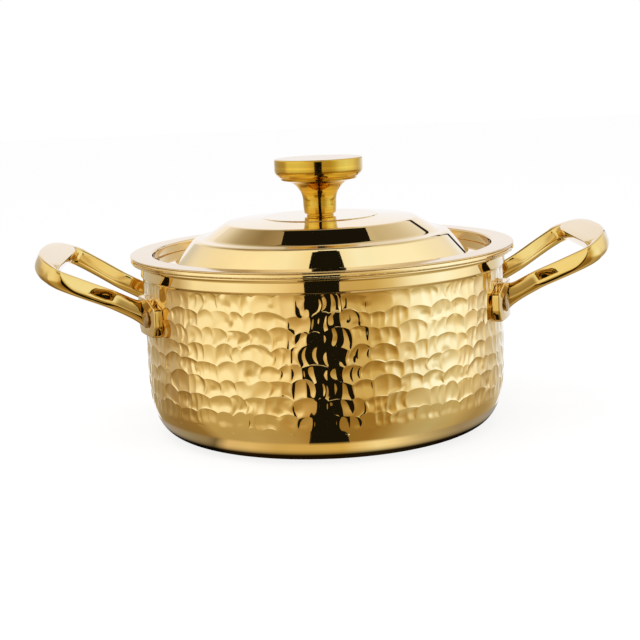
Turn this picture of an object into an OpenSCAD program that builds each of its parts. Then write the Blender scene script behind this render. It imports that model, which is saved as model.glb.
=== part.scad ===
// Round two-handled soup kettle with a double wall, a recessed stepped lid and a turned knob.
// Millimetres, +Z up, origin on the table under the centre of the base. The handles lie along X.

/* [Vessel] */
// Outer radius of the wall
wall_r = 98; // [90:1:108]
// Height of the rim's top above the table
vessel_h = 98; // [92:1:125]
// Sheet thickness of the outer shell
shell_t = 1; // [0.8:0.1:1.5]
// Sheet thickness of the inner liner
liner_t = 1; // [0.8:0.1:1.5]
// Air gap between the shell and the liner's wall
air_gap = 7.5; // [6.5:0.5:10]
// Air gap between the two bottoms
base_gap = 5; // [3:0.5:8]
// Width of the rounded corner between base and wall
corner_w = 21; // [16:1:28]
// Height of the rounded corner between base and wall
corner_h = 42; // [30:1:48]

/* [Rim] */
// How far the smooth neck band stands out from the wall
neck_step = 1; // [0.4:0.1:1.8]
// Height of the smooth neck band
neck_h = 7; // [4:0.5:9]
// How far the rim reaches past the neck
rim_overhang = 5.2; // [4:0.2:8]
// Height of the shell's rolled edge
roll_h = 2.2; // [1.6:0.1:3]
// Height of the lip under the rolled edge
lip_h = 1; // [0.8:0.1:1.5]

/* [Lid seat] */
// Width of the ledge that the lid rests on
seat_w = 4.5; // [3:0.5:6]
// Depth of the ledge below the rim's top
seat_depth = 6.4; // [4:0.2:9]
// Radial clearance between the lid and the vessel's mouth
lid_clear = 1.1; // [0.6:0.1:2]

/* [Lid] */
// Sheet thickness of the lid
lid_t = 1; // [0.8:0.1:1.5]
// Width of the lid's flat brim
brim_w = 11.4; // [8:0.2:14]
// Height of the lower cone
low_cone_h = 12.2; // [8:0.2:16]
// Run of the lower cone
low_cone_w = 10.7; // [7:0.2:13]
// Width of the ledge between the cones
step_w = 4.8; // [3:0.2:7]
// Height of the upper cone
top_cone_h = 7.6; // [5:0.2:11]
// Run of the upper cone
top_cone_w = 12.2; // [8:0.2:15]
// Radius of the raised disc under the knob
disc_r = 31; // [24:0.5:36]
// Rise of the plateau towards the disc
plateau_rise = 1.6; // [0.8:0.1:3]
// Height of the small step around the disc
disc_step = 0.5; // [0.2:0.1:1]

/* [Knob] */
// Radius of the knob's disc
knob_r = 24; // [20:0.5:28]
// Height of the knob
knob_h = 31; // [28:0.5:38]
// Height of the knob's disc
knob_disc_h = 9.2; // [7:0.2:11]
// Radius of the stem
stem_r = 9; // [8:0.2:11]
// Radius of the stem's foot
foot_r = 7.7; // [7.2:0.1:9]
// Radius of the screw's shank
screw_r = 2.5; // [2:0.25:3]
// Length of the screw inside the knob
screw_grip = 12; // [8:0.5:16]

/* [Handles] */
// Slope of the handle loops, in degrees
loop_tilt = 27.5; // [15:0.5:35]
// Half distance between the two legs at their roots
root_y = 31.2; // [28:0.2:36]
// Half distance between the two legs where the loop is widest
wide_y = 43.6; // [40:0.2:50]
// Length of a loop's opening from its root to its end
loop_l = 48.5; // [43:0.5:54]
// Thickness of the bar
bar_h = 10; // [8:0.2:12]
// Width of a leg at its side ridges
leg_w = 9.4; // [8:0.2:11]
// Width of the flat on top of a leg
leg_top_w = 2.8; // [1.6:0.2:4]
// Width of the flat on top of the loop's end
end_top_w = 14; // [11:0.5:16]
// Height of a leg's middle where it meets its foot plate
root_z = 70.5; // [62:0.5:78]
// Thickness of the foot plates
foot_t = 4.2; // [3:0.2:5.5]

/* [Rivets] */
// Distance of a rivet from the middle of its leg, along the foot plate
rivet_out = 9.4; // [9:0.1:10.4]
// Height of the rivets above the table
rivet_z = 68; // [62:0.5:72]
// Radius of the rivets' shanks
rivet_r = 2.5; // [2:0.1:3]
// Radius of the rivets' heads
head_r = 4.5; // [3.6:0.1:4.7]
// Height of the rivets' heads
head_h = 1.6; // [1:0.1:2.2]
// Radius of the backing washers
washer_r = 6.5; // [5:0.1:8]
// Thickness of the backing washers
washer_t = 0.8; // [0.6:0.1:1.2]

/* [Hidden] */

gold = "#d9b25a";
deep_gold = "#c99a35";
steel = "#c8c8c6";

round_fn = 128;          // facets of a turned part on the screen
small_fn = 48;           // facets of a rivet, screw or bore on the screen
fit = 0.05;              // play between pieces fastened together
hole_play = 0.2;         // play of the screw in the lid's hole

// ---- vessel and rim -------------------------------------------------------------------------
neck_r = wall_r + neck_step;
rim_r = neck_r + rim_overhang;
flange_z = vessel_h - liner_t;             // under the liner's flange, on top of the rolled edge
roll_z = flange_z - roll_h;
lip_z = roll_z - lip_h;
lip_r = rim_r - 0.8;
neck_z = lip_z - neck_h;                   // where the neck band steps in to the wall
neck_fillet = 1.2;
edge_r = 0.4;                              // rounding of sheet edges
corner_n = 3;                              // squareness of the base corner
corner_steps = 14;

liner_r = wall_r - shell_t - air_gap - liner_t;    // inside of the liner's wall
mouth_r = liner_r + seat_w;
mouth_round = 1.2;
seat_z = vessel_h - seat_depth;
liner_z = shell_t + base_gap + liner_t;            // inside of the liner's bottom

// ---- lid --------------------------------------------------------------------------------------
brim_r = mouth_r - lid_clear;
brim_z = seat_z + lid_t;
cone_r = brim_r - brim_w;
step_z = brim_z + low_cone_h;
step_r = cone_r - low_cone_w;
top_cone_r = step_r - step_w;
plateau_z = step_z + top_cone_h;
plateau_r = top_cone_r - top_cone_w;
disc_z = plateau_z + plateau_rise + disc_step;     // the knob stands on this
screw_hole_r = screw_r + hole_play;

// ---- knob -------------------------------------------------------------------------------------
knob_top = disc_z + knob_h;
disc_low = knob_top - knob_disc_h;
lock_washer_r = 2.8 * screw_r;
lock_washer_t = 1.2;
screw_head_r = 1.9 * screw_r;
screw_head_h = 1.2 * screw_r;
screw_head_z = disc_z - lid_t - lock_washer_t;

// ---- handles ----------------------------------------------------------------------------------
foot_in = wall_r + fit;
foot_out = wall_r + foot_t;
half_bar = bar_h / 2;
root_x = sqrt(pow(foot_out, 2) - pow(root_y, 2));   // where a leg's middle meets its foot plate
root_a = atan2(root_y, root_x);
loop_out = [cos(loop_tilt), 0, sin(loop_tilt)];     // out along the loop
loop_up = [-sin(loop_tilt), 0, cos(loop_tilt)];     // square to the loop's plane
flare_steps = 5;
span_steps = 3;                                     // rings between two stations
foot_sink = 0.8;                                    // how deep the flare runs out in the foot plate
foot_root = 1.3;                                    // how much deeper the bar's end lies

// Loop bar in its own plane. Each station is [out, aside, direction of the bar's outer side in
// degrees, half width, shape of the inner side, shape of the outer side]. The two shapes run from
// 0, the ridged side of a leg, to 1, the full side of the loop's end.
root_s = 8;                                         // from the root to the start of the spread
turn_r = 3;                                         // rounding of the opening's corners
turn_at = [loop_l - 3.5, wide_y - leg_w / 2 - turn_r];
turn_w = leg_w + turn_r;
end_half = end_top_w / 2 + 0.7;
end_in = loop_l - 0.5;

function turned(a, outer, inner_shape, outer_shape) =
    let (h = (outer - turn_r) / 2)
    concat(turn_at + (turn_r + h) * [cos(a), sin(a)], [a, h, inner_shape, outer_shape]);
function across(y, share, inner_shape) =
    [end_in + share * end_half, y, 0, share * end_half, inner_shape, 1];

turn_start = turned(102, turn_w, 0, 0.45);
function on_leg(out, aside, a) = [
    root_s + (turn_start[0] - root_s) * out, root_y + (turn_start[1] - root_y) * aside, a,
    leg_w / 2, 0, 0
];
stations = [
    [-3, root_y, 90, leg_w / 2, 0, 0],
    on_leg(0, 0.03, 92), on_leg(0.25, 0.1, 104), on_leg(0.45, 0.35, 113),
    on_leg(0.62, 0.6, 113), on_leg(0.84, 0.87, 109), turn_start,
    turned(85, turn_w - 0.2, 0, 0.9), turned(65, turn_w - 0.8, 0, 1),
    turned(45, turn_w - 1.4, 0.1, 1), turned(25, turn_w - 0.8, 0.3, 1),
    turned(6, turn_w + 0.5, 0.6, 1),
    across(wide_y - 12.4, 0.8, 0.95), across(wide_y - 19.6, 0.9, 1),
    across(0.28 * wide_y, 0.985, 1), across(0, 1, 1)
];

// ---- rivets -----------------------------------------------------------------------------------
rivet_a = root_a + rivet_out / foot_out * 180 / PI; // direction of a rivet from the X axis
tail_r = rivet_r + 1.3;
tail_h = 1.4;
shell_in = wall_r - shell_t;
washer_in = shell_in - fit - washer_t;

// ---- sheet metal ------------------------------------------------------------------------------

function unit(v) = v / norm(v);
function left_of(v) = [-v[1], v[0]];
function side_of(path, i) = unit(left_of(path[i + 1] - path[i]));

// The path moved sideways by t with mitred corners
function moved(path, t) = let (last = len(path) - 1) [
    for (i = [0 : last])
        let (a = side_of(path, max(i - 1, 0)), b = side_of(path, min(i, last - 1)))
        path[i] + t * (a + b) / (1 + a * b)
];
function reversed(list) = [for (i = [len(list) - 1 : -1 : 0]) list[i]];
function sheet(path, t) = concat(path, reversed(moved(path, t)));

// Arc about c from angle a to angle b
function arc(c, r, a, b, steps = 5) = [
    for (i = [0 : steps]) let (w = a + (b - a) * i / steps) c + r * [cos(w), sin(w)]
];

// Base corner from the flat base at height z up to radius r, as a squared-off ellipse
function base_corner(r, z, w, h) = [
    for (i = [0 : corner_steps])
        let (a = 90 * i / corner_steps)
        [r - w + w * pow(sin(a), 2 / corner_n), z + h - h * pow(cos(a), 2 / corner_n)]
];

module outer_shell() {
    body = concat(
        [[0, 0]],
        base_corner(wall_r, 0, corner_w, corner_h),
        [[wall_r, neck_z - neck_step], [neck_r, neck_z], [neck_r, flange_z]]
    );
    rolled_edge = concat(
        [[neck_r - shell_t, flange_z], [neck_r - shell_t, lip_z - neck_fillet]],
        arc([neck_r + neck_fillet, lip_z - neck_fillet], neck_fillet, 180, 90),
        arc([lip_r - lip_h / 2, lip_z + lip_h / 2], lip_h / 2, -90, 90),
        arc([rim_r - roll_h / 2, roll_z + roll_h / 2], roll_h / 2, -60, 60),
        [[rim_r - roll_h / 2, flange_z]]
    );
    color(gold)
    difference() {
        rotate_extrude($fn = round_fn) {
            polygon(sheet(body, shell_t));
            polygon(rolled_edge);
        }
        each_foot() rivet_bore(shell_in - 1, wall_r + 1);
    }
}

module inner_liner() {
    path = concat(
        [[rim_r - edge_r, vessel_h]],
        arc([mouth_r + mouth_round, vessel_h - mouth_round], mouth_round, 90, 180),
        [[mouth_r, seat_z], [liner_r, seat_z]],
        reversed(base_corner(liner_r, liner_z, corner_w, corner_h)),
        [[0, liner_z]]
    );
    color(gold)
    rotate_extrude($fn = round_fn)
        polygon(concat(
            sheet(path, liner_t),
            arc([rim_r - edge_r, flange_z + edge_r], edge_r, -60, 0, 2),
            arc([rim_r - edge_r, vessel_h - edge_r], edge_r, 0, 60, 2)
        ));
}

// ---- handles ----------------------------------------------------------------------------------

// One side of the bar's section as [aside, up] points from the top flat down: a leg's side ridge
// rises with the shape into the edge of the end's flat top. h is the bar's half width.
function mixed(a, b, share) = a + (b - a) * share;
function bar_side(h, shape) = [
    mixed([leg_top_w / 2, half_bar], [h - 0.7, half_bar], shape),
    mixed([h, -0.12 * bar_h], [h - 0.3, 0.44 * bar_h], shape),
    mixed([h - 0.2, -0.26 * bar_h], [h, 0.1 * bar_h], shape),
    mixed([h - 1.1, -0.4 * bar_h], [h - 0.5, -0.22 * bar_h], shape),
    mixed([h - 2.7, -0.48 * bar_h], [h - 2.4, -0.44 * bar_h], shape)
];
function section(h, inner_shape, outer_shape) = concat(
    bar_side(h, outer_shape),
    [[0, -half_bar]],
    [for (p = reversed(bar_side(h, inner_shape))) [-p[0], p[1]]]
);

// Smooth curve through the points of a list
function curve_at(p, i, t) =
    let (
        last = len(p) - 1,
        p0 = p[max(i - 1, 0)],
        p1 = p[i],
        p2 = p[min(i + 1, last)],
        p3 = p[min(i + 2, last)]
    )
    0.5 * (2 * p1 + (p2 - p0) * t + (2 * p0 - 5 * p1 + 4 * p2 - p3) * t * t
        + (3 * p1 - p0 - 3 * p2 + p3) * t * t * t);

// The last station has a mirrored neighbour across the plane of symmetry
last_station = len(stations) - 1;
beyond = [for (k = [0 : 5]) (k == 1 || k == 2 ? -1 : 1) * stations[last_station - 1][k]];
bar_line = concat(stations, [beyond]);

root = [root_x, root_y, root_z];
function in_space(s, y) = root + loop_out * s + [0, y - root_y, 0];

// Ring of the bar at share t of the span after station i
function bar_ring(i, t) =
    let (c = curve_at(bar_line, i, t), out = loop_out * cos(c[2]) + [0, 1, 0] * sin(c[2]))
    [for (p = section(c[3], c[4], c[5])) in_space(c[0], c[1]) + out * p[0] + loop_up * p[1]];

// Outline of the flare's foot on the plate: the leg's section spread sideways, up and down
function foot_point(p) =
    let (
        side = p[0] * (p[0] > 0 ? 1 : 1.35),
        up = p[1] > 0 ? p[1] * 1.4 : p[1] * 1.85,
        a = root_a + side / foot_out * 180 / PI,
        r = foot_out - foot_sink
    )
    [r * cos(a), r * sin(a), root_z + up];

// Ring of the flare: t runs from 0 on the leg to 1 on the foot plate
function flare_ring(t) =
    let (start = bar_ring(1, 0), plate = [for (p = section(leg_w / 2, 0, 0)) foot_point(p)])
    [for (i = [0 : len(start) - 1])
        let (
            gap = plate[i] - start[i],
            along = -loop_out * (gap * -loop_out)
        )
        start[i] + along * sin(90 * t) + (gap - along) * (1 - cos(90 * t))];

function sunk(ring) = [for (p = ring) p - foot_root * unit([p[0], p[1], 0])];

half_loop = concat(
    [sunk(flare_ring(1))],
    [for (k = [flare_steps : -1 : 1]) flare_ring(k / flare_steps)],
    [for (i = [1 : last_station - 1], k = [0 : span_steps - 1]) bar_ring(i, k / span_steps)],
    [bar_ring(last_station, 0)]
);
function mirrored(ring) = [for (p = ring) [p[0], -p[1], p[2]]];
loop_rings = concat(
    half_loop,
    [for (k = [len(half_loop) - 2 : -1 : 0]) mirrored(half_loop[k])]
);

// Closed solid skinned over a list of rings
module skinned(rings) {
    n = len(rings[0]);
    last = len(rings) - 1;
    polyhedron(
        points = [for (r = rings) each r],
        faces = concat(
            [[for (j = [n - 1 : -1 : 0]) j]],
            [for (k = [0 : last - 1], j = [0 : n - 1])
                [k * n + j, k * n + (j + 1) % n, (k + 1) * n + j]],
            [for (k = [0 : last - 1], j = [0 : n - 1])
                [k * n + (j + 1) % n, (k + 1) * n + (j + 1) % n, (k + 1) * n + j]],
            [[for (j = [0 : n - 1]) last * n + j]]
        )
    );
}

// Foot plate outline about its rivet: out from the loop, and up
plate_out = 11;
plate_in = 19;
plate_up = 10.7;
plate_down = 9;
plate_outline = [
    [plate_out - 3.4, -plate_down], [plate_out - 2, 0.9 - plate_down], [plate_out, 5.3 - plate_down],
    [plate_out, plate_up - 4.5], [1.2, plate_up],
    [3.5 - plate_in, plate_up], [-plate_in, plate_up - 3.2], [-plate_in, 4.8 - plate_down],
    [5 - plate_in, -plate_down]
];

module foot_plate() {
    intersection() {
        rotate([0, 0, rivet_a])
            translate([0, 0, rivet_z])
            rotate([90, 0, 90])
            linear_extrude(2 * wall_r)
            polygon(plate_outline);
        difference() {
            cylinder(r = foot_out, h = vessel_h, $fn = round_fn);
            translate([0, 0, -1])
                cylinder(r = foot_in, h = vessel_h + 2, $fn = round_fn);
        }
    }
}

// Bore of a rivet from radius r1 to radius r2
module rivet_bore(r1, r2) {
    rivet_axis(r1) cylinder(r = rivet_r + fit, h = r2 - r1, $fn = small_fn);
}

// Puts a child on a rivet's axis at radius r, looking outwards
module rivet_axis(r) {
    rotate([0, 0, rivet_a])
        translate([r, 0, rivet_z])
        rotate([0, 90, 0])
        children();
}

// Mirrors a child to each of the four feet
module each_foot() {
    for (sx = [0, 1], sy = [0, 1]) mirror([sx, 0, 0]) mirror([0, sy, 0]) children();
}

module handle() {
    color(gold)
    difference() {
        union() {
            skinned(loop_rings);
            for (sy = [0, 1]) mirror([0, sy, 0]) foot_plate();
        }
        for (sy = [0, 1]) mirror([0, sy, 0]) rivet_bore(wall_r - 1, foot_out + 1);
    }
}
module handle_right() handle();
module handle_left() mirror([1, 0, 0]) handle();

// ---- rivets and their washers -----------------------------------------------------------------

dome_r = (pow(head_r, 2) + pow(head_h, 2)) / (2 * head_h);
head_seat = foot_out + fit;
washer_flat = washer_in - fit;

module rivet() {
    head_a = asin(head_r / dome_r);
    rivet_axis(washer_flat - tail_h)
        rotate_extrude($fn = small_fn)
        polygon(concat(
            [[0, 0], [tail_r - 0.5, 0], [tail_r, 0.5], [tail_r, tail_h], [rivet_r, tail_h]],
            [[rivet_r, head_seat - washer_flat + tail_h], [head_r, head_seat - washer_flat + tail_h]],
            arc([0, head_seat - washer_flat + tail_h + head_h - dome_r], dome_r, 90 - head_a, 90)
        ));
}

module backing_washer() {
    difference() {
        intersection() {
            rivet_axis(washer_in - 2) cylinder(r = washer_r, h = washer_t + 4, $fn = small_fn);
            translate([0, 0, rivet_z - 2 * washer_r])
                difference() {
                    cylinder(r = shell_in - fit, h = 4 * washer_r, $fn = round_fn);
                    translate([0, 0, -1])
                        cylinder(r = washer_in, h = 4 * washer_r + 2, $fn = round_fn);
                }
        }
        rivet_bore(washer_in - 3, shell_in + 1);
    }
}

// Places a child at the right or left handle's front or back foot
module at_right_back() children();
module at_right_front() mirror([0, 1, 0]) children();
module at_left_back() mirror([1, 0, 0]) children();
module at_left_front() mirror([1, 0, 0]) mirror([0, 1, 0]) children();

module rivet_right_front() color(gold) at_right_front() rivet();
module rivet_right_back() color(gold) at_right_back() rivet();
module rivet_left_front() color(gold) at_left_front() rivet();
module rivet_left_back() color(gold) at_left_back() rivet();
module washer_right_front() color(steel) at_right_front() backing_washer();
module washer_right_back() color(steel) at_right_back() backing_washer();
module washer_left_front() color(steel) at_left_front() backing_washer();
module washer_left_back() color(steel) at_left_back() backing_washer();

// ---- lid --------------------------------------------------------------------------------------

module lid_shell() {
    path = [
        [screw_hole_r, disc_z], [disc_r, disc_z], [disc_r + disc_step, disc_z - disc_step],
        [plateau_r, plateau_z], [top_cone_r, step_z], [step_r, step_z],
        [cone_r, brim_z], [brim_r, brim_z]
    ];
    color(gold)
    rotate_extrude($fn = round_fn)
        polygon(sheet(path, -lid_t));
}

module lid_knob() {
    flare_w = knob_r - stem_r - 5;
    flare_z = disc_low - 2.6;
    flare_h = 0.5 * (flare_z - disc_z);
    outline = concat(
        [[screw_r + fit, disc_z], [foot_r, disc_z], [stem_r - 0.4, disc_z + 2.2]],
        [[stem_r, disc_z + 5]],
        [for (a = [0 : 15 : 90])
            [stem_r + flare_w * (1 - cos(a)), flare_z - flare_h + flare_h * sin(a)]],
        [[knob_r - 3.6, flare_z + 0.5], [knob_r - 3.2, disc_low - 1.2], [knob_r - 2.6, disc_low - 1]],
        arc([knob_r - 2.2, disc_low + 1.2], 2.2, -70, 0),
        arc([knob_r - 1, knob_top - 1], 1, 0, 90),
        [[0, knob_top], [0, disc_z + screw_grip + 1], [screw_r + fit, disc_z + screw_grip + 1]]
    );
    color(deep_gold)
    rotate_extrude($fn = round_fn)
        polygon(outline);
}

module knob_screw() {
    socket_r = 0.55 * screw_head_r;
    color(steel)
    difference() {
        rotate_extrude($fn = small_fn)
            polygon([
                [0, screw_head_z - screw_head_h], [screw_head_r - 0.6, screw_head_z - screw_head_h],
                [screw_head_r, screw_head_z - screw_head_h + 0.6], [screw_head_r, screw_head_z],
                [screw_r, screw_head_z], [screw_r, disc_z + screw_grip], [0, disc_z + screw_grip]
            ]);
        translate([0, 0, screw_head_z - screw_head_h - 1])
            cylinder(r = socket_r, h = 0.6 * screw_head_h + 1, $fn = 6);
    }
}

module knob_washer() {
    color(steel)
    translate([0, 0, screw_head_z])
        difference() {
            cylinder(r = lock_washer_r, h = lock_washer_t, $fn = small_fn);
            translate([0, 0, -1])
                cylinder(r = screw_hole_r, h = lock_washer_t + 2, $fn = small_fn);
        }
}

outer_shell();
inner_liner();
handle_right();
handle_left();
rivet_right_front();
rivet_right_back();
rivet_left_front();
rivet_left_back();
washer_right_front();
washer_right_back();
washer_left_front();
washer_left_back();
lid_shell();
lid_knob();
knob_screw();
knob_washer();
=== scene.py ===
"""Soup kettle: a hammered gold serving pot with two cast loop handles, and a stepped lid with a
turned knob."""
from math import asin, atan2, cos, pi, radians, sin, sqrt

import bmesh
import bpy
import numpy as np
from bpy.props import FloatProperty, FloatVectorProperty, IntProperty, PointerProperty
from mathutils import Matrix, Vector


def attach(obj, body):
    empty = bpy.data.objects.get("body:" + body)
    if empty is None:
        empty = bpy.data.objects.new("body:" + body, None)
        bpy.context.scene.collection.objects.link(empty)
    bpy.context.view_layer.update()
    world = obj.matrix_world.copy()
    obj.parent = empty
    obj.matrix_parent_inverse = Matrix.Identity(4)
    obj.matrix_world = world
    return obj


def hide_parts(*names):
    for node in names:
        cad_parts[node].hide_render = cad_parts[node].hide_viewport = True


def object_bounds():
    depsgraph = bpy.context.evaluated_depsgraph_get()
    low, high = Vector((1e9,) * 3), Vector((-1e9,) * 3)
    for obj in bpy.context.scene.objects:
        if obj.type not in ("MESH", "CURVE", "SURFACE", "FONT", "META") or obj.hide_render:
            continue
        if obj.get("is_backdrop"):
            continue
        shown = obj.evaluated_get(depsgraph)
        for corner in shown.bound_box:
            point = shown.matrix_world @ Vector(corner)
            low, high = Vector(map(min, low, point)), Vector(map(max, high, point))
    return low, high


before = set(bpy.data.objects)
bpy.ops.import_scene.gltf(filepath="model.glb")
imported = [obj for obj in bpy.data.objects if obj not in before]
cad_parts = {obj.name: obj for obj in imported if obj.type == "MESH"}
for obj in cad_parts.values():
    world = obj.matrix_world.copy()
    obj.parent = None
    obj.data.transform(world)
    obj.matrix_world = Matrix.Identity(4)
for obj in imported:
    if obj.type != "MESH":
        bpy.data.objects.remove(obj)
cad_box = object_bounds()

bl_info = {
    "name": "Soup Kettle",
    "version": (1, 0, 0),
    "blender": (4, 5, 0),
    "location": "View3D > Sidebar > Kettle",
    "description": "Hammered serving pot with cast handles and a stepped lid",
    "category": "Add Mesh",
}

MM = 0.001

# ---- sizes of the kettle, in millimetres, as in the solid model ----

WALL_R = 98.0
VESSEL_H = 98.0
SHELL_T = 1.0
LINER_T = 1.0
NECK_R = 99.0
RIM_R = 104.2
FLANGE_Z = VESSEL_H - LINER_T
ROLL_Z = 94.8
LIP_Z = 93.8
LIP_R = 103.4
NECK_Z = 86.8
NECK_FILLET = 1.2
CORNER_W = 21.0
CORNER_H = 42.0
CORNER_SQUARENESS = 3
LINER_R = 87.5
LINER_Z = 7.0
MOUTH_R = 92.0
SEAT_Z = 91.6
BRUSHED_BELOW = 1.2  # from the seat down to where the inside is brushed

BRIM_R = 90.9
BRIM_Z = 92.6
CONE_R = 79.5
STEP_Z = 104.8
STEP_R = 68.8
TOP_CONE_R = 64.0
PLATEAU_Z = 112.4
PLATEAU_R = 51.8
DISC_R = 31.0
DISC_Z = 114.5
LID_T = 1.0
SCREW_HOLE_R = 2.7

KNOB_R = 24.0
KNOB_TOP = 145.5
SCREW_BORE_R = 2.55
SCREW_GRIP = 12.0

LOOP_TILT = radians(27.5)
ROOT_Y = 31.2
WIDE_Y = 43.6
LOOP_L = 48.5
BAR_H = 10.0
LEG_W = 9.4
LEG_TOP_W = 2.8
END_TOP_W = 14.0
ROOT_Z = 70.5
FOOT_IN = 98.05
FOOT_OUT = 102.2
RIVET_OUT = 9.4
RIVET_Z = 68.0
RIVET_R = 2.5
HEAD_R = 4.5
HEAD_H = 1.6
HEAD_SIDE = 1.1
HEAD_SINK = 0.12
TAIL_R = 96.0

LATHE_COLUMNS = 288
KNOB_COLUMNS = 192
STEM_STEPS = 5
RIVET_COLUMNS = 64


# ---- meshes ----

SIDE_SHARE = 0.48  # most of a side that a rounding takes
SUPPORT = 0.25  # distance from a rounding to the point that supports it
SUPPORT_SHARE = 0.3  # and its most, as a share of the rounding


def new_object(name, vertices, faces):
    """A new object in the scene, with a mesh of these vertices and faces."""
    mesh = bpy.data.meshes.new(name)
    mesh.from_pydata(vertices, [], faces)
    made = bpy.data.objects.new(name, mesh)
    bpy.context.collection.objects.link(made)
    return made


def piece_from(name, shape, body, nodes, material):
    """A finished piece: smooth, turned outwards, riding on its body in place of its nodes."""
    vertices, faces = shape
    piece = new_object(name, np.asarray(vertices, float) * MM, faces)
    work = bmesh.new()
    work.from_mesh(piece.data)
    bmesh.ops.recalc_face_normals(work, faces=work.faces)
    work.to_mesh(piece.data)
    work.free()
    piece.data.shade_smooth()
    piece.data.materials.append(material)
    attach(piece, body)
    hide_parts(*nodes)
    return piece


def rounded(corners, steps=6):
    """Outline through (radius, height, rounding) corners, each rounded off by its own length."""
    path = []
    last = len(corners) - 1
    for i, (r, z, length) in enumerate(corners):
        here = np.array([r, z])
        if length == 0 or i in (0, last):
            path.append(here)
            continue
        before = np.array(corners[i - 1][:2]) - here
        after = np.array(corners[i + 1][:2]) - here
        length = min(length, *(SIDE_SHARE * np.linalg.norm(side) for side in (before, after)))
        before /= np.linalg.norm(before)
        after /= np.linalg.norm(after)
        reach = length + min(SUPPORT, SUPPORT_SHARE * length)
        path.append(here + before * reach)
        for k in range(steps + 1):
            s = k / steps
            path.append(here + before * length * (1 - s) ** 2 + after * length * s ** 2)
        path.append(here + after * reach)
    return path


def on_curve(points, i, t):
    """Point at share t of the span after point i, on a smooth curve through the points."""
    last = len(points) - 1
    p0, p1, p2, p3 = (points[min(max(k, 0), last)] for k in range(i - 1, i + 3))
    return 0.5 * (2 * p1 + (p2 - p0) * t + (2 * p0 - 5 * p1 + 4 * p2 - p3) * t ** 2
                  + (3 * p1 - p0 - 3 * p2 + p3) * t ** 3)


def eased(share):
    """Smooth step from 0, at a share of 0 and under, to 1, at a share of 1 and over."""
    share = np.clip(share, 0, 1)
    return share * share * (3 - 2 * share)


def turned_piece(rows, columns=LATHE_COLUMNS, shift=None, closed=False):
    """Vertices and faces of a turned piece. A row is (radius, height), each a number or one value
    for each column, with a third value where its columns slide round by that angle; a radius of 0
    at an end is a single point on the axis."""
    around = np.linspace(0, 2 * pi, columns, endpoint=False)
    vertices = []
    rings = []
    for radius, height, *slide in rows:
        if np.ndim(radius) == 0 and radius == 0:
            rings.append([len(vertices)])
            vertices.append((0, 0, float(height)))
            continue
        radius = np.broadcast_to(radius, (columns,))
        height = np.broadcast_to(height, (columns,))
        angle = around if shift is None else around + shift(around, height)
        angle = angle + slide[0] if slide else angle
        rings.append(list(range(len(vertices), len(vertices) + columns)))
        ring = np.stack([radius * np.cos(angle), radius * np.sin(angle), height], 1)
        vertices.extend(ring.tolist())
    faces = []
    pairs = list(zip(rings[:-1], rings[1:]))
    if closed:
        pairs.append((rings[-1], rings[0]))
    for low, high in pairs:
        if len(low) == len(high) == 1:
            continue
        for i in range(columns):
            j = (i + 1) % columns
            if len(low) == 1:
                faces.append((low[0], high[i], high[j]))
            elif len(high) == 1:
                faces.append((low[i], low[j], high[0]))
            else:
                faces.append((low[i], low[j], high[j], high[i]))
    return vertices, faces


def base_corner(r, z, width, height, steps):
    """Base corner from the flat base at height z up to radius r, as a squared-off ellipse."""
    share = 2 / CORNER_SQUARENESS
    angles = [pi / 2 * i / steps for i in range(steps + 1)]
    return [(r - width + width * sin(a) ** share, z + height - height * cos(a) ** share)
            for a in angles]


# ---- hammered shell ----
# Lengths are in millimetres. A pair is the least and the most of a random draw.

CUSP_DROP = 0.9  # cusps between arches, under the row's upper edge
CUSP_SPREAD = (-1.25, 1.25)
RISE_SHARE = 0.18  # rise of an arch over its cusps, as a share of its width
RISE_MOST = 2.7
RISE_SPREAD = (0.35, 1.35)
DEPTH_SPREAD = (0.7, 1.25)
LEAN_SPREAD = (-0.85, 0.85)
SAG_SPREAD = (-0.5, 0.5)
TWO_DENTS_W = 7.5  # width from which an arch holds two dents
THREE_DENTS_W = 12.5
MISSED_DENT = 0.25  # chance that an arch lacks one of its dents
ROUND_HOLLOW = 0.9  # shape across an arch that holds one dent
FLAT_HOLLOW = 0.4  # and across one that holds more
CUT_SPREAD = (-0.2, 0.2)
SLOPE_SPREAD = (0.55, 1.4)
DENT_SAG_SPREAD = (-0.35, 0.35)
DENT_FULLNESS = 0.6
SMALL_DENT_ABOVE = (0.2, 3.6)  # middle of a small dent, above a row's edge
SMALL_DENT_R = (1.7, 3.3)
SMALL_DENT_SLOPE = (0.7, 1.5)
MARKS_FROM = 0.8  # the marks fade in from this far under the lowest row
MARKS_OVER = 5.5
WORKED_FROM = 3.0  # and the worked wall as a whole steps in from here
WORKED_OVER = 12.0
WORKED_GAP = 0.5  # from the last plain ring to the first worked one
WORKED_DEPTH = 0.12
SHOULDER_DROP = 0.75
SHOULDER_STEPS = 4


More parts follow.
